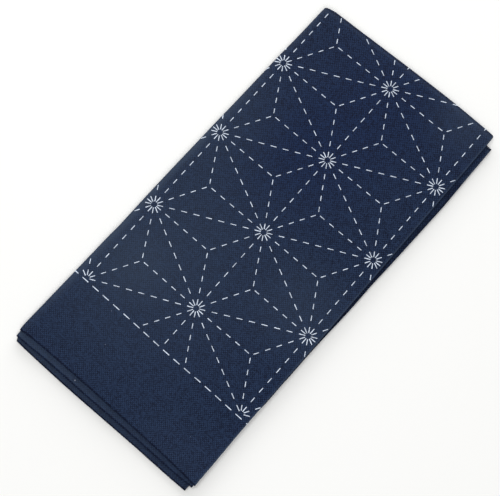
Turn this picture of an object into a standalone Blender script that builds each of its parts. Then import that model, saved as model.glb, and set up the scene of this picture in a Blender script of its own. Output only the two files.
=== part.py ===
"""Sashiko sampler cloth: one length of navy cotton, folded twice and lying flat.

The cloth is printed in white on half of its length. It is folded in half across, with
the printed half outside, and then once along its length. So it lies as a stack of four
layers: from the top down the printed half, the plain half, the plain half again and the
printed half again. Both halves turn together round the long fold at the left, and one
half turns into the other at the far end.

Places are in millimetres from the print: x from the left column of stars that shows, and
y from the print's lower border. The finished sheet is moved so that the origin is the
middle of its footprint on the surface that it lies on. +X runs across the cloth, +Y along
it to the far fold, and +Z up.
"""
import math

import bmesh
import bpy
from mathutils import Vector

MM = 0.001

# The sheet and how closely its layers lie
SHEET = 1.0
HALVES_GAP = 0.35
MIDDLE_GAP = 0.5

# The upper pair of layers stands a little higher beside the folds: height, and how far it reaches
FAR_LOFT = 0.5
FAR_LOFT_REACH = 50.0
LONG_LOFT = 0.5
LONG_LOFT_REACH = 25.0

# Middle of the footprint, from the print
FOOTPRINT_MIDDLE = (78.425, 112.1)

# Outermost edge of the long fold, and the two pairs of selvedges: y, x
LONG_FOLD = ((-70, -12.7), (0, -11.3), (50, -9.8), (70, -10.0), (150, -9.0), (240, -7.1), (292, -6.2))
UPPER_SELVEDGE = ((-70, 163.4), (0, 163.5), (50, 163.9), (100, 164.4), (200, 164.8), (292, 164.4))
LOWER_SELVEDGE = ((-70, 160.2), (14, 163.4), (110, 166.5), (206, 169.2), (236, 169.4), (292, 169.3))

# The fold at the far end, on the upper and the lower pair of layers: x, y
UPPER_FAR_FOLD = ((-4, 290.2), (0, 291.0), (4, 291.6), (20, 292.2), (48, 293.2), (124, 294.4), (165, 292.6))
LOWER_FAR_FOLD = ((-4, 290.2), (80, 286.9), (130, 285.0), (170, 284.2))

# The cut ends of the four layers, from the top down: x, y
PRINTED_UPPER_END = ((-12, -60.6), (0, -59.3), (20, -58.7), (60, -58.5), (110, -58.6), (145, -59.2), (163, -60.2))
PLAIN_UPPER_END = ((-12, -65.9), (0, -64.7), (20, -64.0), (60, -63.8), (110, -62.8), (145, -62.6), (163, -61.8))
PLAIN_LOWER_END = ((-10.5, -65.9), (-8.4, -69.3), (5, -69.8), (40, -70.1), (75, -69.7), (110, -69.0), (161, -68.4))
PRINTED_LOWER_END = ((-12, -60.6), (40, -62.8), (100, -65.2), (161, -67.6))

# How much further in the upper selvedge of the plain half lies at its cut end
PLAIN_SELVEDGE_INSET = 1.0

# Share of the lower layers' width where the plain half's cut end steps outwards
STEP_SHARE = 0.01

# Mesh steps: across each flat part, round the long fold, along each half, round the far fold
ACROSS = 14
LONG_FOLD_STEPS = 8
ALONG = 12
FAR_FOLD_STEPS = 6

# Radii to the middle of the sheet: half a far fold, and the two halves round the long fold
FAR_RADIUS = (SHEET + HALVES_GAP) / 2
LONG_RADIUS = (SHEET + MIDDLE_GAP) / 2 + FAR_RADIUS
STACK_HALF = LONG_RADIUS + FAR_RADIUS + SHEET / 2


def between(low, high, share):
    """The value at a share of the way from low to high."""
    return low + (high - low) * share


def follow(rows, at):
    """The second column of a table, read between its rows at a value of the first."""
    if at <= rows[0][0]:
        return rows[0][1]
    for (start, low), (end, high) in zip(rows, rows[1:]):
        if at <= end:
            return between(low, high, (at - start) / (end - start))
    return rows[-1][1]


def stations_across():
    """Steps across the cloth, from the upper selvedge round the long fold to the lower one.

    Each has the pair of layers that it is in, its share of the way from the long fold to
    the selvedge, and the angle turned round the long fold.
    """
    upper = [("upper", 1 - i / ACROSS, 0.0) for i in range(ACROSS)]
    turn = [("turn", 0.0, math.pi * i / LONG_FOLD_STEPS) for i in range(LONG_FOLD_STEPS + 1)]
    lower = [("lower", i / ACROSS, math.pi) for i in range(1, ACROSS + 1)]
    step = [("lower", STEP_SHARE, math.pi)]
    return upper + turn + step + lower


def stations_along():
    """Steps along the cloth, from the printed half's cut end to the plain half's cut end.

    Each has its half, its share of the way from the cut end to the far fold, and the angle
    turned round the far fold.
    """
    printed = [("printed", i / ALONG, 0.0) for i in range(ALONG)]
    turn = [("turn", 1.0, math.pi * i / FAR_FOLD_STEPS) for i in range(FAR_FOLD_STEPS + 1)]
    plain = [("plain", 1 - i / ALONG, math.pi) for i in range(1, ALONG + 1)]
    return printed + turn + plain


def fold_centre(y):
    """x of the line that the long fold turns about."""
    return follow(LONG_FOLD, y) + STACK_HALF


def selvedge(pair, half, share_along, y):
    """x of the selvedge of one layer."""
    if pair == "lower":
        return follow(LOWER_SELVEDGE, y)
    inset = PLAIN_SELVEDGE_INSET * (1 - share_along) if half == "plain" else 0.0
    return follow(UPPER_SELVEDGE, y) - inset


def cut_end(pair, half, x):
    """y of the cut end of one layer. The upper ends reach round the long fold."""
    if pair == "lower":
        return follow(PRINTED_LOWER_END if half == "printed" else PLAIN_LOWER_END, x)
    return follow(PRINTED_UPPER_END if half == "printed" else PLAIN_UPPER_END, x)


def loft(x, y):
    """How much higher the upper layers lie at a place, from the spring of the two folds."""
    from_far_fold = follow(UPPER_FAR_FOLD, x) - y
    from_long_fold = x - follow(LONG_FOLD, y)
    far = FAR_LOFT * math.exp(-max(from_far_fold, 0.0) / FAR_LOFT_REACH)
    return far + LONG_LOFT * math.exp(-max(from_long_fold, 0.0) / LONG_LOFT_REACH)


def middle_of_sheet(across, along):
    """The point in the middle of the sheet's thickness at a step across and a step along."""
    pair, share_across, long_angle = across
    half, share_along, far_angle = along
    if far_angle > math.pi / 2:
        half = "plain"
    near_x = between(fold_centre(-70), selvedge(pair, half, 0.0, -70), share_across)
    far_x = between(fold_centre(292), selvedge(pair, half, 1.0, 292), share_across)
    near_y = cut_end(pair, half, near_x)
    far_y = follow(LOWER_FAR_FOLD if pair == "lower" else UPPER_FAR_FOLD, far_x)
    turn_y = far_y - FAR_RADIUS - SHEET / 2
    y = between(near_y, turn_y, share_along) + FAR_RADIUS * math.sin(far_angle)
    radius = LONG_RADIUS + FAR_RADIUS * math.cos(far_angle)
    x = between(fold_centre(y), selvedge(pair, half, share_along, y), share_across)
    x -= radius * math.sin(long_angle)
    upper_share = (1 + math.cos(long_angle)) / 2
    z = STACK_HALF + radius * math.cos(long_angle) + upper_share * loft(x, y)
    return Vector((x - FOOTPRINT_MIDDLE[0], y - FOOTPRINT_MIDDLE[1], z)) * MM


def cotton_material():
    """Matt navy cotton."""
    material = bpy.data.materials.new("navy_cotton")
    material.use_nodes = True
    shader = material.node_tree.nodes["Principled BSDF"]
    shader.inputs["Base Color"].default_value = (0.022, 0.034, 0.066, 1.0)
    shader.inputs["Roughness"].default_value = 0.9
    shader.inputs["Metallic"].default_value = 0.0
    return material


def folded_sheet(name):
    """The folded cloth as one sheet, thickened evenly to both sides of its middle."""
    mesh = bpy.data.meshes.new(name)
    sheet = bmesh.new()
    columns = [
        [sheet.verts.new(middle_of_sheet(across, along)) for along in stations_along()]
        for across in stations_across()
    ]
    for column, next_column in zip(columns, columns[1:]):
        for row in range(len(column) - 1):
            sheet.faces.new((column[row], column[row + 1], next_column[row + 1], next_column[row]))
    sheet.to_mesh(mesh)
    sheet.free()
    cloth = bpy.data.objects.new(name, mesh)
    bpy.context.scene.collection.objects.link(cloth)
    thickness = cloth.modifiers.new("thickness", "SOLIDIFY")
    thickness.thickness = SHEET * MM
    thickness.offset = 0.0
    thickness.use_even_offset = True
    cloth.data.materials.append(cotton_material())
    return cloth


def main():
    for old in list(bpy.data.objects):
        bpy.data.objects.remove(old, do_unlink=True)
    folded_sheet("sampler_cloth")


main()
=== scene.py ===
# %% [markdown]
# # A folded sashiko sampler cloth
#
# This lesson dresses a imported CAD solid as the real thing: one length of navy plain-weave
# cotton, printed in white with the hemp-leaf stitching guide, folded in half across and once
# along its length. The cloth is modelled as one thin sheet that follows both folds. Its weave,
# its print and its worn edges are drawn by shader nodes on the flat cloth, so they go round
# the folds as they would on a real one.
#
# The frame comes first. It holds the CAD solid, which gives the place and the size.

# %% Load the frame
import math
import random

import bpy
import numpy as np
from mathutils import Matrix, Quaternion, Vector


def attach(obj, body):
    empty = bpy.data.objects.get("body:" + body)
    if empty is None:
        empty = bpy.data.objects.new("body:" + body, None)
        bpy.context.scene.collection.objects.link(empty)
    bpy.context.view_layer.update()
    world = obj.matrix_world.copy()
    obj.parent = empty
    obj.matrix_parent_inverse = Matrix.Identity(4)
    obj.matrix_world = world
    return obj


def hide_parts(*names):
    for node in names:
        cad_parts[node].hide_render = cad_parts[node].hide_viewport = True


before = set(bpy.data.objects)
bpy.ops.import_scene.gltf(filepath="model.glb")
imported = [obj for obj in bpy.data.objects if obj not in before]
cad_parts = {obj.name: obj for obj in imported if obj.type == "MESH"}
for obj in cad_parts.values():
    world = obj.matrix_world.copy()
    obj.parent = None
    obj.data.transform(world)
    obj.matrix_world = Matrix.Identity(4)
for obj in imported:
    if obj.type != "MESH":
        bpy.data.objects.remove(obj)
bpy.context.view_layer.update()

# %% [markdown]
# ## Places on the cloth
#
# Lengths are in millimetres and are turned into metres where the mesh is made. Places are
# told from the print, as a printer would: x across the cloth from the left column of stars
# that shows, and y along it from the lower border. A short table gives each fold, selvedge
# and cut end, with one row for each place where the line changes direction. A smooth curve
# through the rows is used and not straight runs, because cloth has no corners there.

# %% Units, the sheet and its folds
MM = 0.001
SHEET = 0.75             # thickness
HALVES_GAP = 0.3         # air between the printed half and the plain half
MIDDLE_GAP = 0.4         # air between the two pairs of layers
FOOTPRINT_MIDDLE = (78.425, 112.1)

# Outermost edge of the long fold, and the selvedges of the upper and lower pair: y, x
LONG_FOLD = (
    (-70, -12.0), (-61, -12.1), (-56, -12.4), (-40, -12.0), (-25, -11.7), (-9, -11.3),
    (19, -10.75), (33, -10.45), (50, -9.85), (70, -9.9), (150, -8.9), (180, -8.25),
    (205, -7.9), (219, -7.7), (233, -7.5), (247, -7.0), (262, -6.6), (292, -6.2),
)
UPPER_SELVEDGE = (
    (-70, 163.8), (-38, 163.7), (-10, 163.4), (20, 163.65), (50, 163.9),
    (100, 164.4), (200, 164.6), (289, 164.4), (293, 163.8),
)
LOWER_SELVEDGE = (
    (-70, 160.2), (10, 163.25), (19, 164.0), (33, 164.1), (48, 164.45), (62, 164.6),
    (77, 165.0), (92, 165.6), (107, 166.3), (121, 166.7), (136, 166.8), (160, 167.8),
    (206, 169.2), (226, 169.7), (245, 169.5), (292, 169.3),
)

# Outermost edge of the fold at the far end, on the upper and the lower pair: x, y
UPPER_FAR_FOLD = (
    (-4, 290.2), (0, 291.0), (4, 291.6), (20, 292.1), (48, 292.95),
    (124, 294.2), (155, 293.6), (162.8, 293.2), (164.6, 292.0),
)
LOWER_FAR_FOLD = ((-4, 290.2), (80, 286.9), (130, 285.0), (170, 284.2))
CORNER_ROUND = 0.8       # how much shorter the sheet is at the corner that both folds share

# Cut ends of the four layers, from the top down: x, y
PRINTED_UPPER_END = (
    (-12, -61.4), (0, -60.2), (20, -59.6), (60, -59.2), (110, -59.4), (145, -60.1), (163, -61.0),
)
PLAIN_UPPER_END = (
    (-12, -66.2), (-6, -66.3), (20, -65.4), (60, -65.1), (110, -64.2), (145, -64.1), (163, -63.3),
)
PLAIN_LOWER_END = (
    (-10.6, -66.4), (-9.3, -66.7), (-8.3, -69.0), (5, -69.6), (40, -69.9), (75, -69.4),
    (110, -68.8), (145, -68.6), (161, -68.2),
)
PRINTED_LOWER_END = ((-12, -60.6), (40, -62.8), (100, -65.2), (161, -67.6))
PLAIN_SELVEDGE_INSET = 1.0

# Radii to the middle of the sheet where the cloth lies flat
FAR_RADIUS = (SHEET + HALVES_GAP) / 2
LONG_RADIUS = (SHEET + MIDDLE_GAP) / 2 + FAR_RADIUS


def follow(rows, at):
    """A smooth curve through the rows of a table, read at one value or at many."""
    places = np.array([row[0] for row in rows], float)
    values = np.array([row[1] for row in rows], float)
    steps = np.diff(values) / np.diff(places)
    steady = steps[:-1] * steps[1:] > 0
    inner = np.where(steady, 2 * steps[:-1] * steps[1:] / np.where(steady, steps[:-1] + steps[1:], 1), 0.0)
    slopes = np.concatenate([steps[:1], inner, steps[-1:]])
    at = np.clip(at, places[0], places[-1])
    row = np.clip(np.searchsorted(places, at, side="right") - 1, 0, len(rows) - 2)
    step = places[row + 1] - places[row]
    t = (at - places[row]) / step
    start = values[row] * (2 * t**3 - 3 * t**2 + 1) + slopes[row] * step * (t**3 - 2 * t**2 + t)
    return start + values[row + 1] * (3 * t**2 - 2 * t**3) + slopes[row + 1] * step * (t**3 - t**2)


def smooth(value):
    """0 below 0, 1 above 1, and a soft rise between."""
    t = np.clip(value, 0.0, 1.0)
    return t * t * (3 - 2 * t)


flat_height = SHEET + 2 * (LONG_RADIUS + FAR_RADIUS)
print(f"four layers lie {flat_height:.1f} mm high where they are flat")

# %% [markdown]
# ## Camera
#
# The photo looks down on the cloth from its near right corner. The camera is placed on a
# ball around the point that it looks at, by azimuth, elevation and distance, and is then
# rolled a little. That keeps the few numbers that a photographer would also use. An empty
# with a Track To constraint would do too, but the view should not depend on a constraint.

# %% Camera at the photo's angle
AIM = Vector((-0.36 * MM, -12.54 * MM, flat_height * MM))
CAMERA_AZIMUTH = math.radians(39.057)
CAMERA_ELEVATION = math.radians(78.127)
CAMERA_DISTANCE = 765.7 * MM
CAMERA_ROLL = math.radians(1.86)
LENS = 72

bpy.ops.object.select_all(action="DESELECT")
away = Vector((
    math.sin(CAMERA_AZIMUTH) * math.cos(CAMERA_ELEVATION),
    -math.cos(CAMERA_AZIMUTH) * math.cos(CAMERA_ELEVATION),
    math.sin(CAMERA_ELEVATION),
))
bpy.ops.object.camera_add(location=AIM + away * CAMERA_DISTANCE)
camera = bpy.context.object
camera.name = "camera"
camera.data.lens = LENS
camera.data.sensor_width = 36
camera.data.clip_start = 0.01
turn_to_aim = (-away).to_track_quat("-Z", "Y")
camera.rotation_mode = "QUATERNION"
camera.rotation_quaternion = turn_to_aim @ Quaternion((0, 0, 1), CAMERA_ROLL)
bpy.context.scene.camera = camera
print("camera at", [round(value, 3) for value in camera.location])

# %% [markdown]
# ## Table and light
#
# The cloth lies on a plain white table in soft daylight. A wide, low window at the far left
# gives the broad shadow along the near and the right edges. The ceiling lamp behind the
# photographer lights the table evenly, and a narrow strip above the left side makes the
# cloth's lower left a little brighter. Large lamps are chosen because a small one would draw
# hard shadow edges.

# %% Table, room light and three soft lamps
TABLE_SIZE = 6.0
TABLE_GAP = 0.0002
# Lamps, in metres and watts: place, width, height, power
WINDOW = ((-1.6, 2.54, 0.65), 4.5, 1.1, 150.0)
CEILING = ((1.2, -1.2, 1.9), 1.4, 1.4, 22.0)
STRIP = ((-0.583, 0.099, 1.5), 0.77, 0.08, 6.3)
ROOM_LIGHT = 0.37


def plain_material(name, colour, roughness):
    """One even colour, for what is only the stage."""
    material = bpy.data.materials.new(name)
    material.use_nodes = True
    shader = material.node_tree.nodes["Principled BSDF"]
    shader.inputs["Base Color"].default_value = (*colour, 1)
    shader.inputs["Roughness"].default_value = roughness
    return material


def soft_lamp(name, place, width, height, power):
    """A rectangular lamp that faces the cloth, with its width level."""
    bpy.ops.object.select_all(action="DESELECT")
    bpy.ops.object.light_add(type="AREA", location=place)
    lamp = bpy.context.object
    lamp.name = name
    lamp.data.shape = "RECTANGLE"
    lamp.data.size = width
    lamp.data.size_y = height
    lamp.data.energy = power
    lamp.rotation_mode = "QUATERNION"
    lamp.rotation_quaternion = (-Vector(place)).to_track_quat("-Z", "Y")
    return lamp


bpy.ops.object.select_all(action="DESELECT")
bpy.ops.mesh.primitive_plane_add(size=TABLE_SIZE, location=(0, 0, -TABLE_GAP))
table = bpy.context.object
table.name = "table_top"
table.data.materials.append(plain_material("white_table", (0.935, 0.935, 0.92), 0.6))

soft_lamp("window_light", *WINDOW)
soft_lamp("ceiling_light", *CEILING)
strip = soft_lamp("strip_light", *STRIP)
strip.rotation_quaternion = Quaternion((0, 0, 1), math.radians(3.7))

room = bpy.data.worlds.new("room")
room.use_nodes = True
room.node_tree.nodes["Background"].inputs["Color"].default_value = (1, 1, 1, 1)
room.node_tree.nodes["Background"].inputs["Strength"].default_value = ROOM_LIGHT
bpy.context.scene.world = room
bpy.context.scene.view_settings.view_transform = "Standard"

# %% [markdown]
# ## The sheet, folded twice
#
# A folded cloth could be simulated, but four layers that rest on each other take long and
# seldom end where the photo has them. Here the middle of the sheet is worked out by rule.
# Each point of the sheet has a step across and a step along. A step across runs from the
# upper selvedge to the long fold, half a turn round it, and on to the lower selvedge. A step
# along runs from the printed cut end to the far fold, half a turn round that, and back to
# the plain cut end. The two turns together place all four layers.

# %% Steps across and along the cloth
ACROSS = 64
LONG_TURN = 14
ALONG = 112
FAR_TURN = 12
CLOSER_AT_ENDS = 0.8


def eased(count):
    """Shares from 0 to 1 that lie closer together at both ends, where the cloth bends."""
    t = np.linspace(0, 1, count + 1)
    return t - CLOSER_AT_ENDS * np.sin(2 * math.pi * t) / (2 * math.pi)


def steps_through_a_turn(flat_count, turn_count):
    """Share of the way from the fold, and angle turned, for one run, the turn and the run back."""
    flat = eased(flat_count)
    share = np.concatenate([flat[:0:-1], np.zeros(turn_count + 1), flat[1:]])
    angle = np.concatenate([
        np.zeros(flat_count),
        np.linspace(0, math.pi, turn_count + 1),
        np.full(flat_count, math.pi),
    ])
    return share, angle


share_across, long_angle = steps_through_a_turn(ACROSS, LONG_TURN)
share_along, far_angle = steps_through_a_turn(ALONG, FAR_TURN)
share_across, long_angle = share_across[:, None], long_angle[:, None]
share_along, far_angle = 1 - share_along[None, :], far_angle[None, :]
is_lower = (long_angle > math.pi - 1e-6) & (share_across > 0)
is_plain = far_angle > math.pi / 2
print("steps across and along:", share_across.size, share_along.size)

# %% [markdown]
# ## How the layers lie
#
# Pressed cotton springs up a little beside its folds, and the iron has flattened the last few
# millimetres again. So the radius of each turn grows towards the fold and shrinks right at it.
# Where the cloth underneath ends, the layer above sinks to the table, and the loose threads
# at a cut end droop. All layers also share soft swells that grow from nothing at the table to
# the full height on top.

# %% Fold spring, sinking ends and swells
LONG_SPRING, LONG_SPRING_REACH = 0.4, 22.0
FAR_SPRING, FAR_SPRING_REACH = 0.25, 30.0
LONG_PRESS, FAR_PRESS, PRESS_REACH = 0.9, 0.55, 3.5
END_SINK, END_SINK_LENGTH = 0.4, 6.0      # past the hidden end of the lowest layer
FLAP_SINK, FLAP_LENGTH = 0.3, 9.0         # past the far fold of the lower pair
# Droop of the loose ends: on the upper pair, on the plain half of the lower pair, and its length
UPPER_DROOP, LOWER_DROOP, DROOP_LENGTH = 0.25, 0.6, 1.3
# Swells: wavelength, direction in degrees, place in the wave, height
SWELLS = (
    (160, 20, 0.3, 0.20),
    (98, -38, 1.9, 0.12),
    (61, 72, 4.0, 0.07),
    (37, -80, 2.2, 0.04),
    (23, 33, 5.1, 0.02),
)


def spring(distance, height, reach, press):
    """How much a turn's radius grows beside its fold. Right at the fold it is pressed down again."""
    return height * (np.exp(-distance / reach) - press * np.exp(-distance / PRESS_REACH))


def far_radius(from_far_turn):
    """Radius of the far turn, or half the step between the halves, at a distance from it."""
    return FAR_RADIUS + spring(from_far_turn, FAR_SPRING, FAR_SPRING_REACH, FAR_PRESS)


def long_radius(from_long_turn, from_far_turn):
    """Radius of the long turn to the middle of one pair of layers."""
    sprung = spring(from_long_turn, LONG_SPRING, LONG_SPRING_REACH, LONG_PRESS)
    return (SHEET + MIDDLE_GAP) / 2 + sprung + far_radius(from_far_turn)


def swell(x, y):
    """Height of the soft swells at a place, from 0 up."""
    total = 0.0
    for length, direction, start, height in SWELLS:
        along = x * math.cos(math.radians(direction)) + y * math.sin(math.radians(direction))
        total = total + height * (1 + np.sin(2 * math.pi * along / length + start))
    return total


# %% [markdown]
# Each line of the next cell works on every point of the sheet at once: a step across is a row
# of the arrays and a step along is a column. It finds y first, because the folds and the
# selvedges are tables over y, then x, and the height last.

# %% Work out the middle of the sheet
def cut_end(x):
    """y of the cut end of each layer at a place across."""
    upper = np.where(is_plain, follow(PLAIN_UPPER_END, x), follow(PRINTED_UPPER_END, x))
    lower = np.where(is_plain, follow(PLAIN_LOWER_END, x), follow(PRINTED_LOWER_END, x))
    return np.where(is_lower, lower, upper)


def selvedge(y, share_along):
    """x of the selvedge of each layer at a place along."""
    inset = np.where(is_plain, PLAIN_SELVEDGE_INSET * (1 - share_along), 0.0)
    return np.where(is_lower, follow(LOWER_SELVEDGE, y), follow(UPPER_SELVEDGE, y) - inset)


def turn_x(y, from_far_turn):
    """x of the line that the long fold turns about."""
    return follow(LONG_FOLD, y) + SHEET / 2 + long_radius(0.0, from_far_turn) + far_radius(from_far_turn)


near_x = turn_x(-70, 300) + (selvedge(-70, 0) - turn_x(-70, 300)) * share_across
far_x = turn_x(292, 0) + (selvedge(292, 1) - turn_x(292, 0)) * share_across
near_y = cut_end(near_x)
far_edge = np.where(is_lower, follow(LOWER_FAR_FOLD, far_x), follow(UPPER_FAR_FOLD, far_x))
far_edge = far_edge - CORNER_ROUND * np.sin(long_angle)
turn_y = far_edge - far_radius(0.0) - SHEET / 2
from_far_turn = (turn_y - near_y) * (1 - share_along)
y = turn_y - from_far_turn + far_radius(0.0) * np.sin(far_angle)

fold_x = turn_x(y, from_far_turn)
flat_x = fold_x + (selvedge(y, share_along) - fold_x) * share_across
from_long_turn = flat_x - fold_x
far_here = far_radius(from_far_turn)
long_here = long_radius(from_long_turn, from_far_turn)
radius = long_here + far_here * np.cos(far_angle)
x = flat_x - radius * np.sin(long_angle)
z = SHEET / 2 + long_here + far_here + radius * np.cos(long_angle)

upper_share = (1 + np.cos(long_angle)) / 2
past_end = smooth((follow(PRINTED_LOWER_END, x) - y) / END_SINK_LENGTH)
past_fold = smooth((y - follow(LOWER_FAR_FOLD, x)) / FLAP_LENGTH)
height_share = (z - SHEET / 2) / (2 * (long_here + far_here))
at_end = smooth(1 - (turn_y - near_y - from_far_turn) / DROOP_LENGTH)
z = z - END_SINK * past_end * is_plain * (1 - 0.4 * upper_share)
z = z - FLAP_SINK * past_fold * upper_share
z = z - at_end * (UPPER_DROOP * upper_share + LOWER_DROOP * is_plain * (1 - upper_share))
z = z + swell(x, y) * height_share
print(f"middle of the sheet: {z.min():.2f} to {z.max():.2f} mm high")

# %% [markdown]
# ## The flat cloth as a UV map
#
# The print and the weave belong to the flat cloth, so each point gets the place that it had
# before folding. On the printed upper layer that is simply x and y. Past the long fold the
# cloth is turned over, so its place is mirrored at the fold line. Past the far fold it counts
# on. The print is not quite even, as if the cloth had slipped a little while it was printed. So
# its places are shifted by two short tables, one along and one across, and by a few soft bumps,
# all fitted to the print in the photo. Two more maps hold the distances from the edges and from
# the folds, for the painted highlights and shade.

# %% Places on the flat cloth
# How far the print slipped along the cloth under the screen: place along, slip
PRINT_SLIP = (
    (-60, 0.3), (0, 0.3), (35, -0.5), (75, -0.1), (105, 0.25),
    (150, 0.0), (210, -0.65), (250, -0.3), (292, 0.0),
)
# The same sideways: place across, slip
SIDE_SLIP = (
    (-12, -0.15), (4, -0.15), (19.5, -0.45), (35, 0.0), (55, 0.25),
    (80, 0.15), (97, 0.0), (143, 0.15), (159, 0.0),
)
# Small places where it slipped further: across, along, radius, slip across, slip along
LOCAL_SLIP = (
    (160, 258, 15, 0.0, 0.9), (85, 15, 20, 0.0, -0.8), (150, 17, 15, 0.0, -0.7), (132, 8, 28, -0.75, 0.2),
)
FOLD_LEAN = math.radians(1.03)     # between the long fold and the columns of the print


def past_the_fold(y, from_far_turn):
    """How far each point lies past the line of the long fold, mirrored twice over when flat."""
    outer = long_radius(0.0, from_far_turn) + far_radius(from_far_turn)
    beyond = flat_x + 0 * y - turn_x(y, from_far_turn)
    return outer * long_angle + np.where(is_lower, 2 * beyond, 0.0)


past = past_the_fold(y, from_far_turn)
past_at_turn = past_the_fold(turn_y + 0 * y, 0 * y)
u = flat_x - past * math.cos(FOLD_LEAN)
printed_v = y + past * math.sin(FOLD_LEAN)
turn_v = turn_y + past_at_turn * math.sin(FOLD_LEAN)
v = np.where(is_plain, 2 * turn_v + math.pi * far_radius(0.0) - printed_v, printed_v)
v = np.where((far_angle > 0) & (share_along == 1), turn_v + far_radius(0.0) * far_angle, v)
v = v - follow(PRINT_SLIP, v)
u = u - follow(SIDE_SLIP, u)
for across, along, radius, slip_across, slip_along in LOCAL_SLIP:
    share = np.exp(-((u - across) ** 2 + (v - along) ** 2) / (2 * radius**2))
    u, v = u - slip_across * share, v - slip_along * share

from_selvedge = np.abs(selvedge(y, share_along) - flat_x)
from_cut_end = turn_y - near_y - from_far_turn + 0 * y
from_long_crease = from_long_turn + (long_here + far_here) * np.abs(long_angle - math.pi / 2)
from_far_crease = from_far_turn + far_radius(0.0) * np.abs(far_angle - math.pi / 2)
print(f"flat cloth: {u.min():.1f} to {u.max():.1f} mm across, {v.min():.1f} to {v.max():.1f} mm along")
print(f"hidden selvedge at {u[-1].min():.1f} to {u[-1].max():.1f} mm across")

# %% [markdown]
# ## Making the mesh
#
# The worked-out points become one grid of faces. A Solidify modifier gives it the cloth's
# thickness to both sides, and also hands the wrong side and the raw edges to materials of
# their own. It is applied, so the finished piece is plain mesh.

# %% Build the sheet
def sheet_mesh(name, maps):
    """The grid of the folded sheet, with its UV maps in metres."""
    rows, columns = x.shape
    points = np.stack([x - FOOTPRINT_MIDDLE[0], y - FOOTPRINT_MIDDLE[1], z], axis=-1) * MM
    index = np.arange(rows * columns).reshape(rows, columns)
    faces = np.stack([index[:-1, :-1], index[:-1, 1:], index[1:, 1:], index[1:, :-1]], axis=-1)
    mesh = bpy.data.meshes.new(name)
    mesh.from_pydata(points.reshape(-1, 3).tolist(), [], faces.reshape(-1, 4).tolist())
    corner_point = np.empty(len(mesh.loops), dtype=np.int32)
    mesh.loops.foreach_get("vertex_index", corner_point)
    for map_name, first, second in maps:
        layer = mesh.uv_layers.new(name=map_name)
        pair = np.stack([first + 0 * x, second + 0 * x], axis=-1).reshape(-1, 2) * MM
        layer.data.foreach_set("uv", pair[corner_point].ravel())
    return mesh


bpy.ops.object.select_all(action="DESELECT")
cloth = bpy.data.objects.new("folded_cloth", sheet_mesh("folded_cloth", (
    ("flat_cloth", u, v),
    ("from_edges", from_selvedge, from_cut_end),
    ("from_folds", from_long_crease, from_far_crease),
)))
bpy.context.scene.collection.objects.link(cloth)
bpy.context.view_layer.objects.active = cloth
cloth.select_set(True)
print("sheet points:", len(cloth.data.vertices))

# %% [markdown]
# ## Small tools for shader nodes
#
# Every finish below is a node tree. Adding a node, setting its options and wiring its inputs
# takes many lines by hand, so two helpers do it: one adds any node and feeds its inputs in
# order, and one adds a Math node. Effects that several materials share become node groups.

# %% Helpers that add nodes
def add_node(tree, kind, *values, **options):
    """Adds a node. Each value is either a socket to wire from or a plain value to set."""
    node = tree.nodes.new(kind)
    row, column = divmod(len(tree.nodes), 12)
    node.location = (180 * column, -200 * row)
    for name, option in options.items():
        setattr(node, name, option)
    for socket, value in zip(node.inputs, values):
        if isinstance(value, bpy.types.NodeSocket):
            tree.links.new(value, socket)
        elif value is not None:
            socket.default_value = value
    return node


def calc(tree, operation, *values):
    """Adds a Math node and returns what it puts out."""
    return add_node(tree, "ShaderNodeMath", *values, operation=operation).outputs[0]


def new_group(name, inputs, outputs):
    """An empty node group, with its input sockets by name and its output node."""
    group = bpy.data.node_groups.new(name, "ShaderNodeTree")
    for label, kind in inputs:
        group.interface.new_socket(name=label, in_out="INPUT", socket_type="NodeSocket" + kind)
    for label, kind in outputs:
        group.interface.new_socket(name=label, in_out="OUTPUT", socket_type="NodeSocket" + kind)
    return group, group.nodes.new("NodeGroupInput").outputs, group.nodes.new("NodeGroupOutput").inputs


def put_group(tree, group, **values):
    """Places a group in a tree. An input is named by its label, with _ for each space."""
    node = add_node(tree, "ShaderNodeGroup", node_tree=group)
    for label, value in values.items():
        socket = node.inputs[label.replace("_", " ")]
        if isinstance(value, bpy.types.NodeSocket):
            tree.links.new(value, socket)
        else:
            socket.default_value = value
    return node.outputs


# %% [markdown]
# ## Plain weave
#
# In plain weave each thread goes over one and under one. Seen from above that is a chessboard
# of small pillows, each longer along its own thread. The group tells the two kinds of field
# apart by whether the row and column numbers add up to an even number. It hands that on too, so
# that the warp can be painted a little paler than the weft, as painted sheen, and the
# chessboard shows. Every thread has a shade of its own that changes slowly along it, for fine
# streaks: a noise is read far apart from thread to thread and close together along each. A
# white noise by row and column adds a fleck for each pillow, because yarn is spun unevenly.

# %% Node group: plain weave
STREAK_CHANGE = 0.12     # how fast a thread changes its shade, for each thread that it crosses


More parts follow.
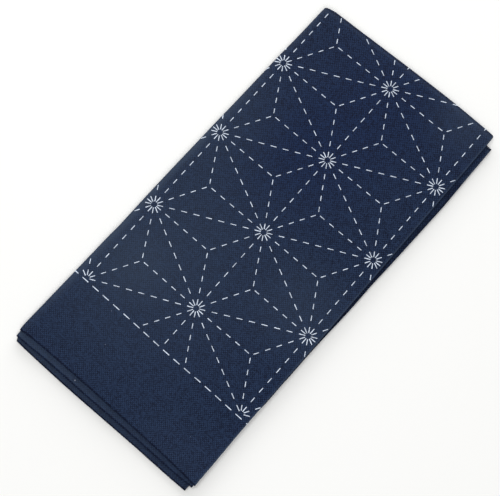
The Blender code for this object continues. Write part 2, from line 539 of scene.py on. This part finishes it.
def plain_weave_group():
    group, given, made = new_group(
        "plain_weave",
        [("Place", "Vector"), ("Thread spacing", "Float")],
        [("Height", "Float"), ("Shade", "Float"), ("Fleck", "Float"), ("Warp on top", "Float")],
    )
    across, along, _ = add_node(group, "ShaderNodeSeparateXYZ", given["Place"]).outputs
    counted, middles = [], []
    for place in (across, along):
        count = calc(group, "DIVIDE", place, given["Thread spacing"])
        counted.append(count)
        middles.append(calc(group, "MULTIPLY_ADD", calc(group, "FRACT", count), 2, -1))
    rows = [calc(group, "FLOOR", count) for count in counted]
    warp_on_top = calc(group, "FLOORED_MODULO", calc(group, "ADD", *rows), 2)
    squares = [calc(group, "MULTIPLY", middle, middle) for middle in middles]
    pillows = []
    for over, under in (squares, squares[::-1]):
        fall = calc(group, "MULTIPLY_ADD", under, 0.4, over)
        pillows.append(calc(group, "MAXIMUM", calc(group, "SUBTRACT", 1, fall), 0))
    streaks = []
    for thread, place_on_thread in ((rows[0], counted[1]), (rows[1], counted[0])):
        own = calc(group, "MULTIPLY", thread, 5.17)
        slow = calc(group, "MULTIPLY", place_on_thread, STREAK_CHANGE)
        noise = add_node(group, "ShaderNodeTexNoise", noise_dimensions="2D")
        noise.inputs["Scale"].default_value = 1
        noise.inputs["Detail"].default_value = 1
        group.links.new(add_node(group, "ShaderNodeCombineXYZ", own, slow).outputs[0], noise.inputs[0])
        streaks.append(noise.outputs["Fac"])
    pillow = add_node(group, "ShaderNodeCombineXYZ", *rows).outputs[0]
    fleck = add_node(group, "ShaderNodeTexWhiteNoise", pillow, noise_dimensions="2D")
    group.links.new(fleck.outputs["Value"], made["Fleck"])
    group.links.new(warp_on_top, made["Warp on top"])
    for label, (weft, warp) in (("Height", pillows[::-1]), ("Shade", streaks[::-1])):
        chosen = add_node(group, "ShaderNodeMix", warp_on_top, None, weft, warp)
        group.links.new(chosen.outputs[0], made[label])
    return group


plain_weave = plain_weave_group()
print("made", plain_weave.name, "with", len(plain_weave.nodes), "nodes")

# %% [markdown]
# ## The hemp-leaf guide
#
# The traditional hemp-leaf pattern repeats by mirrors, so only one small triangle of it has to
# be drawn. Two Ping-Pong steps fold the cloth's plane onto one cell, and a half turn folds
# that cell onto a triangle with a star in one corner. Four kinds of stitched line start at a
# star: up the column, along the diagonal, and two that end where three lines meet. Each is a
# row of dashes, and the sewer's spokes round a star are simply the first dash of each line.
# An image could hold the print too, but it would blur close up.

# %% Sizes of the print, in millimetres
ROW = 77.0               # from star to star up a column
COLUMN = 77.7            # from one column of stars to the next
MEETING = 0.706          # share of a column step at which three lines meet
FIRST_DASH = 4.7         # from a star to the middle of its first dash
LAST_DASH = 4.1          # from the middle of the last dash to a meeting of three lines
DASH_WIDTH = 0.55
SPOKE_EXTRA = 0.25       # how much longer the first dash is
SPOKE_WIDER = 0.03       # and how much wider to each side
PRINT_ROWS = 4
PRINT_LEFT = -171.0      # the print stops here, under the fold, short of the hidden selvedge
# Lines from a star: end across, end along, dashes, dash length, distance of the last dash from the end
LINES = {
    "column": (0.0, ROW, 8, 4.5, FIRST_DASH),
    "diagonal": (COLUMN, ROW / 2, 9, 4.6, FIRST_DASH),
    "level": (MEETING * COLUMN, 0.0, 6, 4.3, LAST_DASH),
    "steep": ((1 - MEETING) * COLUMN, ROW / 2, 5, 4.15, LAST_DASH),
}
BORDER_PITCH = 2 * COLUMN / 15
BORDER_DASH = 6.0
BORDER_BELOW = 1.3       # how far below the lowest stars the border lies
LINES_STOP = 0.9         # how far inside the outermost rows of stars the other lines stop
BORDER_LEAN = 0.0075     # the border falls this much for each millimetre to the right
BORDER_DRIFT = 0.8       # its dashes run ahead by this much between two stars


# %% Node group: one row of dashes
def dash_row_group():
    group, given, made = new_group(
        "dash_row",
        [("Along", "Float"), ("Across", "Float"), ("First dash", "Float"), ("Pitch", "Float"),
         ("Last number", "Float"), ("Dash length", "Float")],
        [("Distance", "Float")],
    )
    start = calc(group, "SUBTRACT", given["Along"], given["First dash"])
    number = calc(group, "ROUND", calc(group, "DIVIDE", start, given["Pitch"]))
    number = calc(group, "MINIMUM", calc(group, "MAXIMUM", number, 0), given["Last number"])
    middle = calc(group, "MULTIPLY", number, given["Pitch"])
    from_middle = calc(group, "ABSOLUTE", calc(group, "SUBTRACT", start, middle))
    is_spoke = calc(group, "LESS_THAN", number, 0.5)
    length = calc(group, "MULTIPLY_ADD", is_spoke, SPOKE_EXTRA, given["Dash length"])
    straight = calc(group, "MULTIPLY_ADD", length, 0.5, -DASH_WIDTH / 2)
    past_straight = calc(group, "MAXIMUM", calc(group, "SUBTRACT", from_middle, straight), 0)
    across_squared = calc(group, "MULTIPLY", given["Across"], given["Across"])
    squares = calc(group, "MULTIPLY_ADD", past_straight, past_straight, across_squared)
    half_width = calc(group, "MULTIPLY_ADD", is_spoke, SPOKE_WIDER, DASH_WIDTH / 2)
    distance = calc(group, "SUBTRACT", calc(group, "SQRT", squares), half_width)
    group.links.new(distance, made["Distance"])
    return group


dash_row = dash_row_group()
print("made", dash_row.name, "with", len(dash_row.nodes), "nodes")


# %% Node group: the whole print
def line_of_dashes(tree, across, along, end_across, end_along, dashes, dash_length, last_dash):
    """Distance to a row of dashes that leads from a star to a point."""
    length = math.hypot(end_across, end_along)
    right, up = end_across / length, end_along / length
    forward = calc(tree, "MULTIPLY_ADD", across, right, calc(tree, "MULTIPLY", along, up))
    sideways = calc(tree, "MULTIPLY_ADD", across, up, calc(tree, "MULTIPLY", along, -right))
    pitch = (length - FIRST_DASH - last_dash) / (dashes - 1)
    return put_group(
        tree, dash_row, Along=forward, Across=sideways, First_dash=FIRST_DASH,
        Pitch=pitch, Last_number=dashes - 1.0, Dash_length=dash_length,
    )["Distance"]


def border_of_dashes(tree, across, along, height):
    """Distance to a border, whose middle dash lies under a star of every second column."""
    line = calc(tree, "MULTIPLY_ADD", across, BORDER_LEAN, calc(tree, "SUBTRACT", along, height))
    wave = calc(tree, "SINE", calc(tree, "MULTIPLY", across, math.pi / COLUMN))
    drift = calc(tree, "MULTIPLY_ADD", calc(tree, "ABSOLUTE", wave), -BORDER_DRIFT, across)
    from_middle = calc(tree, "PINGPONG", drift, BORDER_PITCH / 2)
    return put_group(
        tree, dash_row, Along=from_middle, Across=line, First_dash=0.0,
        Pitch=1000.0, Last_number=0.0, Dash_length=BORDER_DASH - SPOKE_EXTRA,
    )["Distance"]


def hemp_leaf_group():
    group, given, made = new_group("hemp_leaf_print", [("Place", "Vector")], [("Distance", "Float")])
    in_mm = add_node(group, "ShaderNodeVectorMath", given["Place"], operation="SCALE")
    in_mm.inputs["Scale"].default_value = 1 / MM
    across, along, _ = add_node(group, "ShaderNodeSeparateXYZ", in_mm.outputs[0]).outputs
    cell_x = calc(group, "PINGPONG", across, COLUMN)
    cell_y = calc(group, "PINGPONG", along, ROW / 2)
    turned_x = calc(group, "SUBTRACT", COLUMN, cell_x)
    turned_y = calc(group, "SUBTRACT", ROW / 2, cell_y)
    share_x = calc(group, "DIVIDE", cell_x, COLUMN)
    share_y = calc(group, "DIVIDE", cell_y, ROW / 2)
    is_far = calc(group, "GREATER_THAN", calc(group, "ADD", share_x, share_y), 1)
    near = [add_node(group, "ShaderNodeMix", is_far, None, cell_x, turned_x).outputs[0],
            add_node(group, "ShaderNodeMix", is_far, None, cell_y, turned_y).outputs[0]]
    other = [calc(group, "SUBTRACT", COLUMN, near[0]), calc(group, "SUBTRACT", ROW / 2, near[1])]
    nearest = line_of_dashes(group, *other, *LINES["steep"])
    for line in LINES.values():
        nearest = calc(group, "MINIMUM", nearest, line_of_dashes(group, *near, *line))
    top = PRINT_ROWS * ROW
    middle = calc(group, "ABSOLUTE", calc(group, "SUBTRACT", along, top / 2))
    above_border = calc(group, "SUBTRACT", middle, top / 2 - LINES_STOP)
    past_left_end = calc(group, "SUBTRACT", PRINT_LEFT, across)
    nearest = calc(group, "MAXIMUM", nearest, above_border)
    for height in (-BORDER_BELOW, top + BORDER_BELOW):
        nearest = calc(group, "MINIMUM", nearest, border_of_dashes(group, across, along, height))
    nearest = calc(group, "MAXIMUM", nearest, past_left_end)
    group.links.new(nearest, made["Distance"])
    return group


hemp_leaf = hemp_leaf_group()
print("made", hemp_leaf.name, "with", len(hemp_leaf.nodes), "nodes")

# %% [markdown]
# ## Painted light and shade, uneven colour and lint
#
# Beside each fold a paler band is painted where its rounding catches the light, as a painted
# highlight, and the crest of the fold is painted dark as painted shade. The selvedge of the
# printed half gets a painted highlight, and the plain half's end where it sticks out of the
# stack gets painted sheen. Along a cut end the last threads lie loose, and a thin dark line of
# painted shade marks the step below it. The plain half's selvedge strip, which the upper pair
# shades, is painted darker too. Eight broad soft patches make the colour uneven: some are
# painted sheen, paler and greyer, and some are darker and bluer. Their places and strengths
# were fitted to the photo's broad tones. A few specks of pale lint lie where the photo shows
# them. Each kind of mark is a group, so that it can be changed alone.

# %% Node group: painted highlights and painted shade
PLAIN_HALF_FROM = 325.0
LOOSE_SHADED_END = 1.2          # the last weft threads of a cut end lie loose over this length, painted dark as shade
# Painted highlights: a paler band beside each fold where its rounding catches the light, a highlight along
# the printed selvedge, and sheen on the plain half's end.
PAINTED_HIGHLIGHT = {"long fold": 0.5, "far fold": 0.12, "selvedge": 0.34, "plain end": 0.4}
HIGHLIGHT_MOST_AT = 75.0    # place along the long fold
HIGHLIGHT_REACH = 9.0          # how far from the long fold the painted highlight reaches
FRAY = 0.9               # how unevenly the loose threads lie
BROAD_NOISE, FINE_NOISE = 25, 900
PALE_END_SPREAD = 280.0  # the painted sheen on the plain half's end fades over this distance from the long fold
# Broad soft patches: across, along, radius, strength. Above 0 they are painted sheen, paler and greyer;
# below 0 they are darker and bluer.
PATCHES = (
    (20, 50, 150, 0.27),
    (20, 30, 45, 0.14),
    (140, 90, 60, 0.21),
    (140, -70, 80, 0.10),
    (140, 290, 45, 0.23),
    (-20, 170, 80, 0.22),
    (80, 250, 110, -0.40),
    (60, 170, 80, -0.32),
)
# Specks of lint: across, along, size
LINT = ((31.0, -6.0, 0.35), (44.5, -27.8, 0.35), (138.0, -36.8, 0.3), (45.3, 648.0, 0.75))


def painted_light_group():
    group, given, made = new_group(
        "painted_light",
        [("Place", "Vector"), ("From edges", "Vector"), ("From folds", "Vector")],
        [("Painted highlight", "Float"), ("Loose and shaded", "Float"), ("Painted shade", "Float")],
    )

    def soft_step(value, start, end, height=1.0):
        numbers = (start * MM, end * MM, 0.0, height)
        step = add_node(group, "ShaderNodeMapRange", value, *numbers, interpolation_type="SMOOTHSTEP")
        return step.outputs[0]

    from_selvedge, from_end, _ = add_node(group, "ShaderNodeSeparateXYZ", given["From edges"]).outputs
    from_long, from_far, _ = add_node(group, "ShaderNodeSeparateXYZ", given["From folds"]).outputs
    along = add_node(group, "ShaderNodeSeparateXYZ", given["Place"]).outputs[1]
    noises = []
    for scale in (BROAD_NOISE, FINE_NOISE):
        noise = add_node(group, "ShaderNodeTexNoise")
        noise.inputs["Scale"].default_value = scale
        group.links.new(given["Place"], noise.inputs["Vector"])
        noises.append(noise.outputs["Fac"])
    broad, fine = noises
    is_plain_half = soft_step(along, PLAIN_HALF_FROM, PLAIN_HALF_FROM + 5)
    printed_half = calc(group, "SUBTRACT", 1, is_plain_half)
    # Painted highlight in a band beside the far fold.
    painted = calc(group, "MULTIPLY", soft_step(from_far, 6, 3), PAINTED_HIGHLIGHT["far fold"])
    # Painted highlight beside the long fold, strongest near one place along it.
    from_most = calc(group, "ABSOLUTE", calc(group, "SUBTRACT", along, HIGHLIGHT_MOST_AT * MM))
    by_chance = calc(group, "MULTIPLY_ADD", broad, 0.8, 0.1)
    share = calc(group, "MULTIPLY_ADD", soft_step(from_most, 140, 40), 0.5, by_chance)
    fold_highlight = calc(group, "MULTIPLY", soft_step(from_long, HIGHLIGHT_REACH, 0), share)
    painted = calc(group, "MULTIPLY_ADD", fold_highlight, PAINTED_HIGHLIGHT["long fold"], painted)
    # Painted highlight along the printed half's selvedge, where it catches the light.
    rim = calc(group, "MULTIPLY", soft_step(from_selvedge, 1.8, 0.4), printed_half)
    painted = calc(group, "MULTIPLY_ADD", rim, PAINTED_HIGHLIGHT["selvedge"], painted)
    # Painted sheen on the plain half's end where it sticks out of the stack, strongest near the long fold.
    near_fold = calc(group, "MULTIPLY_ADD", from_long, -1 / (PALE_END_SPREAD * MM), 1)
    end_sheen = calc(group, "MULTIPLY", soft_step(from_end, 9, 5), is_plain_half)
    end_sheen = calc(group, "MULTIPLY", end_sheen, calc(group, "MAXIMUM", near_fold, 0))
    painted = calc(group, "MULTIPLY_ADD", end_sheen, PAINTED_HIGHLIGHT["plain end"], painted)
    # Painted shade: a thin dark line along each cut end, for the shadow under its step and its loose
    # threads.
    uneven_end = calc(group, "MULTIPLY_ADD", calc(group, "SUBTRACT", fine, 0.5), FRAY * MM, from_end)
    loose_and_shaded = soft_step(uneven_end, LOOSE_SHADED_END + 0.3, LOOSE_SHADED_END - 0.3)
    # Painted shade on the crest of each fold; the painted highlight is kept off it.
    shaded_crest = calc(group, "MAXIMUM", soft_step(from_far, 2.8, 1.6), soft_step(from_long, 3.0, 1.6, 0.6))
    painted = calc(group, "MULTIPLY", painted, calc(group, "SUBTRACT", 1, shaded_crest))
    # Painted shade on the plain half's selvedge strip, where the upper pair shades it.
    painted_shade = calc(group, "MULTIPLY", soft_step(from_selvedge, 5, 0.5), is_plain_half)
    painted_shade = calc(group, "MAXIMUM", painted_shade, shaded_crest)
    group.links.new(painted, made["Painted highlight"])
    group.links.new(loose_and_shaded, made["Loose and shaded"])
    group.links.new(painted_shade, made["Painted shade"])
    return group


# %% Node groups: soft patches, and lint
def distance_to(tree, place, across, along):
    """Distance in metres from a spot on the flat cloth, given in millimetres."""
    spot = (across * MM, along * MM, 0)
    return add_node(tree, "ShaderNodeVectorMath", place, spot, operation="DISTANCE").outputs["Value"]


def patches_group():
    labels = ("Painted sheen", "Darker bluer")
    outputs = [(label, "Float") for label in labels]
    group, given, made = new_group("soft_patches", [("Place", "Vector")], outputs)
    totals = {label: 0.0 for label in labels}
    for across, along, radius, strength in PATCHES:
        far = distance_to(group, given["Place"], across, along)
        numbers = (radius * MM, 0.0, 0.0, abs(strength))
        patch = add_node(group, "ShaderNodeMapRange", far, *numbers, interpolation_type="SMOOTHSTEP")
        # Patches above 0 are painted sheen; those below 0 make the colour darker and bluer.
        label = "Painted sheen" if strength > 0 else "Darker bluer"
        totals[label] = calc(group, "ADD", patch.outputs[0], totals[label])
    for label, total in totals.items():
        group.links.new(total, made[label])
    return group


def lint_group():
    group, given, made = new_group("lint", [("Place", "Vector")], [("Lint", "Float")])
    noise = add_node(group, "ShaderNodeTexNoise")
    noise.inputs["Scale"].default_value = 1800
    group.links.new(given["Place"], noise.inputs["Vector"])
    centre = (-0.5, -0.5, 0)
    amount = (0.0008, 0.0008, 0)
    push = add_node(group, "ShaderNodeVectorMath", noise.outputs["Color"], centre, operation="ADD")
    bend = add_node(group, "ShaderNodeVectorMath", push.outputs[0], amount, given["Place"])
    bend.operation = "MULTIPLY_ADD"
    total = 0.0
    for across, along, size in LINT:
        far = distance_to(group, bend.outputs[0], across, along)
        numbers = (size * MM, size * MM / 2, 0.0, 1.0)
        speck = add_node(group, "ShaderNodeMapRange", far, *numbers, interpolation_type="SMOOTHSTEP")
        total = calc(group, "MAXIMUM", speck.outputs[0], total)
    group.links.new(total, made["Lint"])
    return group


painted_light, soft_patches, lint = painted_light_group(), patches_group(), lint_group()
print("made", painted_light.name, "and", soft_patches.name, "and", lint.name)

# %% [markdown]
# ## Dyed cotton
#
# One function builds the cotton for each side of the cloth. The shade of each thread, the
# flecks and the clouds add up to one number, with painted light added in: the warp painted a
# little paler than the weft as painted sheen, painted shade in the weave's valleys, and painted
# shade along cut ends, on fold crests and on the plain half's selvedge strip. That number picks
# a colour between deep and pale navy. In the darker patches that colour is multiplied by a
# bluer one, and painted highlights and sheen turn it paler and greyer. The ink lies on top:
# where the weave is high it takes more ink, so the edges of each dash follow the threads, and in
# places it took badly and lets the dye through. Cotton is matt: it is rough all over and mirrors
# very little.

# %% Materials of the cloth
THREAD = 1.04 * MM       # chosen by its look; much cotton of this kind has 0.5 to 0.6
DEEP_NAVY = (0.0005, 0.0030, 0.0165, 1)
PALE_NAVY = (0.0161, 0.0337, 0.0821, 1)
# The paler, greyer colour that painted highlights and painted sheen turn the cloth towards.
HIGHLIGHT_NAVY = (0.0435, 0.0635, 0.100, 1)
BLUER_TINT = (0.0, 0.4, 0.93, 1)      # multiplies the colour in the darker, bluer patches
INK = (0.78, 0.87, 1.0, 1)
THIN_INK = 0.55          # how much of the dye the ink covers where it took badly
INK_BLUR = 0.1           # half the width over which the edge of a dash fades
INK_BY_WEAVE = -0.12     # moves that edge out where the weave is high
INK_BY_CHANCE = -0.4     # and in and out by chance
INK_RAISES = 0.25        # how much the ink adds to the height of the weave
CLOUD_NOISE, THIN_NOISE = 900, 260
LINT_COLOUR = (0.16, 0.18, 0.24, 1)
WEAVE_DEPTH = 0.08 * MM
# How much each kind of unevenness, painted shade and painted sheen moves the shade between deep and pale
# navy
SHADE = {
    "warp": 0.6, "painted valley shade": 0.6, "streaks": 1.0, "flecks": 0.6, "clouds": 0.5,
    "shaded loose end": -0.5, "painted shade rim": -0.35,
}


def read_map(tree, name):
    return add_node(tree, "ShaderNodeUVMap", uv_map=name).outputs[0]


def centred(tree, value, strength, start):
    """Adds a value to a running total, centred on one half and scaled."""
    return calc(tree, "MULTIPLY_ADD", calc(tree, "SUBTRACT", value, 0.5), strength, start)


def mixed_colour(tree, mask, below, above, blend="MIX"):
    """A colour over another. Each is a socket or a plain colour."""
    node = add_node(tree, "ShaderNodeMix", mask, data_type="RGBA", blend_type=blend)
    for socket, colour in zip(node.inputs[6:8], (below, above)):
        if isinstance(colour, bpy.types.NodeSocket):
            tree.links.new(colour, socket)
        else:
            socket.default_value = colour
    return node.outputs[2]


def cotton(name, tone, printed):
    """Dyed cotton that follows the flat cloth. tone is its shade between deep and pale navy."""
    material = bpy.data.materials.new(name)
    material.use_nodes = True
    tree = material.node_tree
    shader = tree.nodes["Principled BSDF"]
    place = read_map(tree, "flat_cloth")
    weave = put_group(tree, plain_weave, Place=place, Thread_spacing=THREAD)
    from_edges, from_folds = read_map(tree, "from_edges"), read_map(tree, "from_folds")
    painted = put_group(tree, painted_light, Place=place, From_edges=from_edges, From_folds=from_folds)
    clouds = add_node(tree, "ShaderNodeTexNoise")
    clouds.inputs["Scale"].default_value = CLOUD_NOISE
    clouds.inputs["Detail"].default_value = 4
    clouds.inputs["Roughness"].default_value = 0.65
    tree.links.new(place, clouds.inputs["Vector"])
    # The warp is painted a little paler than the weft, as painted sheen.
    shade = centred(tree, weave["Warp on top"], SHADE["warp"], tone)
    shade = centred(tree, weave["Shade"], SHADE["streaks"], shade)
    shade = centred(tree, weave["Fleck"], SHADE["flecks"], shade)
    shade = centred(tree, clouds.outputs["Fac"], SHADE["clouds"], shade)
    # Painted shade: the weave's valleys are darker than its crowns.
    shade = centred(tree, weave["Height"], SHADE["painted valley shade"], shade)
    # Painted shade along each cut end, and on fold crests and the plain half's selvedge strip.
    shade = calc(tree, "MULTIPLY_ADD", painted["Loose and shaded"], SHADE["shaded loose end"], shade)
    shade = calc(tree, "MULTIPLY_ADD", painted["Painted shade"], SHADE["painted shade rim"], shade)
    colour = mixed_colour(tree, shade, DEEP_NAVY, PALE_NAVY)
    patched = put_group(tree, soft_patches, Place=place)
    # The darker, bluer patches multiply the colour by a bluer tint.
    colour = mixed_colour(tree, patched["Darker bluer"], colour, BLUER_TINT, "MULTIPLY")
    # Painted highlights and the painted sheen patches turn the colour paler and greyer, but not on the
    # painted shade along cut ends.
    paler = calc(tree, "ADD", painted["Painted highlight"], patched["Painted sheen"])
    paler = calc(tree, "MULTIPLY", paler, calc(tree, "SUBTRACT", 1, painted["Loose and shaded"]))
    colour = mixed_colour(tree, paler, colour, HIGHLIGHT_NAVY)
    colour = mixed_colour(tree, put_group(tree, lint, Place=place)["Lint"], colour, LINT_COLOUR)
    height = centred(tree, weave["Shade"], 0.8, weave["Height"])
    if printed:
        distance = put_group(tree, hemp_leaf, Place=place)["Distance"]
        uneven = centred(tree, weave["Height"], INK_BY_WEAVE, distance)
        uneven = centred(tree, clouds.outputs["Fac"], INK_BY_CHANCE, uneven)
        ink = add_node(tree, "ShaderNodeMapRange", uneven, INK_BLUR, -INK_BLUR, 0.0, 1.0).outputs[0]
        thin_places = add_node(tree, "ShaderNodeTexNoise")
        thin_places.inputs["Scale"].default_value = THIN_NOISE
        tree.links.new(place, thin_places.inputs["Vector"])
        spread = (0.3, 0.6, THIN_INK, 1.0)
        cover = add_node(tree, "ShaderNodeMapRange", thin_places.outputs["Fac"], *spread).outputs[0]
        colour = mixed_colour(tree, calc(tree, "MULTIPLY", ink, cover), colour, INK)
        height = calc(tree, "MULTIPLY_ADD", ink, INK_RAISES, height)
    relief = add_node(tree, "ShaderNodeBump")
    relief.inputs["Strength"].default_value = 0.6
    relief.inputs["Distance"].default_value = WEAVE_DEPTH
    tree.links.new(height, relief.inputs["Height"])
    tree.links.new(colour, shader.inputs["Base Color"])
    roughness = calc(tree, "MULTIPLY_ADD", weave["Shade"], 0.2, 0.6)
    tree.links.new(roughness, shader.inputs["Roughness"])
    tree.links.new(relief.outputs["Normal"], shader.inputs["Normal"])
    shader.inputs["Specular IOR Level"].default_value = 0.12
    shader.inputs["Sheen Weight"].default_value = 0.01
    shader.inputs["Sheen Roughness"].default_value = 0.5
    return material


navy_face = cotton("navy_cotton_printed_side", 0.44, printed=True)
navy_back = cotton("navy_cotton_wrong_side", 0.56, printed=False)
navy_edge = cotton("navy_cotton_cut_edge", 0.35, printed=False)
print("materials:", navy_face.name, navy_back.name, navy_edge.name)

# %% Thickness and materials of the sheet
for material in (navy_face, navy_back, navy_edge):
    cloth.data.materials.append(material)
thickness = cloth.modifiers.new("thickness", "SOLIDIFY")
thickness.thickness = SHEET * MM
thickness.offset = 0.0
thickness.use_even_offset = True
thickness.material_offset = 1
thickness.material_offset_rim = 2
bpy.ops.object.modifier_apply(modifier=thickness.name)
bpy.ops.object.shade_smooth_by_angle(angle=math.radians(40))
print("sheet faces:", len(cloth.data.polygons))

# %% [markdown]
# ## Loose thread ends
#
# A cut end is never a clean line. The threads that run along the cloth stick out a little past
# the last thread across, each by its own length and at its own angle. They are tiny spikes
# with three sides, set out along the middle of both cut ends in one loop. Hair particles could
# do this too, but the finished cloth has to be plain mesh.

# %% Threads that stick out of the cut ends
SPIKE_STEP = 0.9
SPIKE_LENGTH = (0.2, 1.0)
SPIKE_RADIUS = 0.12
SPIKE_ROOT = 0.5         # how far inside the sheet each one starts


def spike(root, out, radius, length):
    """Seven points of a bent spike with three sides, from its root outwards."""
    side = out.cross(Vector((0, 0, 1))).normalized()
    lean = side * random.gauss(0, 0.3) + Vector((0, 0, random.uniform(-0.3, 0.15)))
    points = []
    for share, width in ((0.0, 1.0), (0.6, 0.8)):
        middle = root + out * (share * (SPIKE_ROOT + length)) + lean * (share * length * share)
        for corner in range(3):
            angle = 2 * math.pi * corner / 3
            turned = side * math.cos(angle) + side.cross(out) * math.sin(angle)
            points.append(middle + turned * radius * width)
    points.append(root + out * (SPIKE_ROOT + length) + lean * length)
    return points


def thread_ends(name):
    """Spikes along both cut ends of the sheet, as one mesh."""
    random.seed(7)
    points, faces, places = [], [], []
    for end, inside in ((0, 1), (-1, -2)):
        line = np.stack([x[:, end], y[:, end], z[:, end], u[:, end], v[:, end]], axis=-1)
        outward = line[:, :3] - np.stack([x[:, inside], y[:, inside], z[:, inside]], axis=-1)
        steps = np.linalg.norm(np.diff(line[:, :3], axis=0), axis=1)
        walked = np.concatenate([[0], np.cumsum(steps)])
        for middle in np.arange(SPIKE_STEP, walked[-1] - SPIKE_STEP, SPIKE_STEP):
            at = middle + random.uniform(-0.4, 0.4) * SPIKE_STEP
            here = [np.interp(at, walked, line[:, axis]) for axis in range(5)]
            out = Vector([np.interp(at, walked, outward[:, axis]) for axis in range(3)]).normalized()
            lift = Vector((0, 0, random.uniform(-0.25, 0.25) * SHEET))
            root = Vector(here[:3]) - out * SPIKE_ROOT + lift
            first = len(points)
            radius = SPIKE_RADIUS * random.uniform(0.6, 1.1)
            points += spike(root, out, radius, random.uniform(*SPIKE_LENGTH))
            for corner, following in ((0, 1), (1, 2), (2, 0)):
                sides = (corner, following, 3 + following, 3 + corner)
                tip = (3 + corner, 3 + following, 6)
                faces += [[first + i for i in sides], [first + i for i in tip]]
            faces.append([first + 2, first + 1, first])
            places += [here[3:]] * 7
    mesh = bpy.data.meshes.new(name)
    shift = Vector((FOOTPRINT_MIDDLE[0], FOOTPRINT_MIDDLE[1], 0))
    placed = [(point - shift) * MM for point in points]
    mesh.from_pydata([(point.x, point.y, max(point.z, 0.1 * MM)) for point in placed], [], faces)
    layer = mesh.uv_layers.new(name="flat_cloth")
    for loop in mesh.loops:
        layer.data[loop.index].uv = [value * MM for value in places[loop.vertex_index]]
    return mesh


def thread_material(name):
    """Loose navy thread, each end with its own shade."""
    material = bpy.data.materials.new(name)
    material.use_nodes = True
    tree = material.node_tree
    shader = tree.nodes["Principled BSDF"]
    noise = add_node(tree, "ShaderNodeTexNoise")
    noise.inputs["Scale"].default_value = 800
    tree.links.new(read_map(tree, "flat_cloth"), noise.inputs["Vector"])
    shade = calc(tree, "MULTIPLY_ADD", noise.outputs["Fac"], 0.8, -0.2)
    colour = mixed_colour(tree, shade, DEEP_NAVY, PALE_NAVY)
    tree.links.new(colour, shader.inputs["Base Color"])
    shader.inputs["Roughness"].default_value = 0.9
    shader.inputs["Specular IOR Level"].default_value = 0.12
    return material


bpy.ops.object.select_all(action="DESELECT")
spikes = bpy.data.objects.new("cut_end_threads", thread_ends("cut_end_threads"))
bpy.context.scene.collection.objects.link(spikes)
bpy.context.view_layer.objects.active = spikes
spikes.select_set(True)
spikes.data.materials.append(thread_material("navy_thread_ends"))
bpy.ops.object.mode_set(mode="EDIT")
bpy.ops.mesh.select_all(action="SELECT")
bpy.ops.mesh.normals_make_consistent(inside=False)
bpy.ops.object.mode_set(mode="OBJECT")
bpy.ops.object.shade_smooth()
print("thread ends:", len(spikes.data.vertices) // 7)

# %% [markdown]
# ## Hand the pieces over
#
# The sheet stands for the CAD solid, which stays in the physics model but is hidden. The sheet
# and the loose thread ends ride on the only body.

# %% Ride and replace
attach(cloth, "root")
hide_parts("sampler_cloth")
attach(spikes, "root")
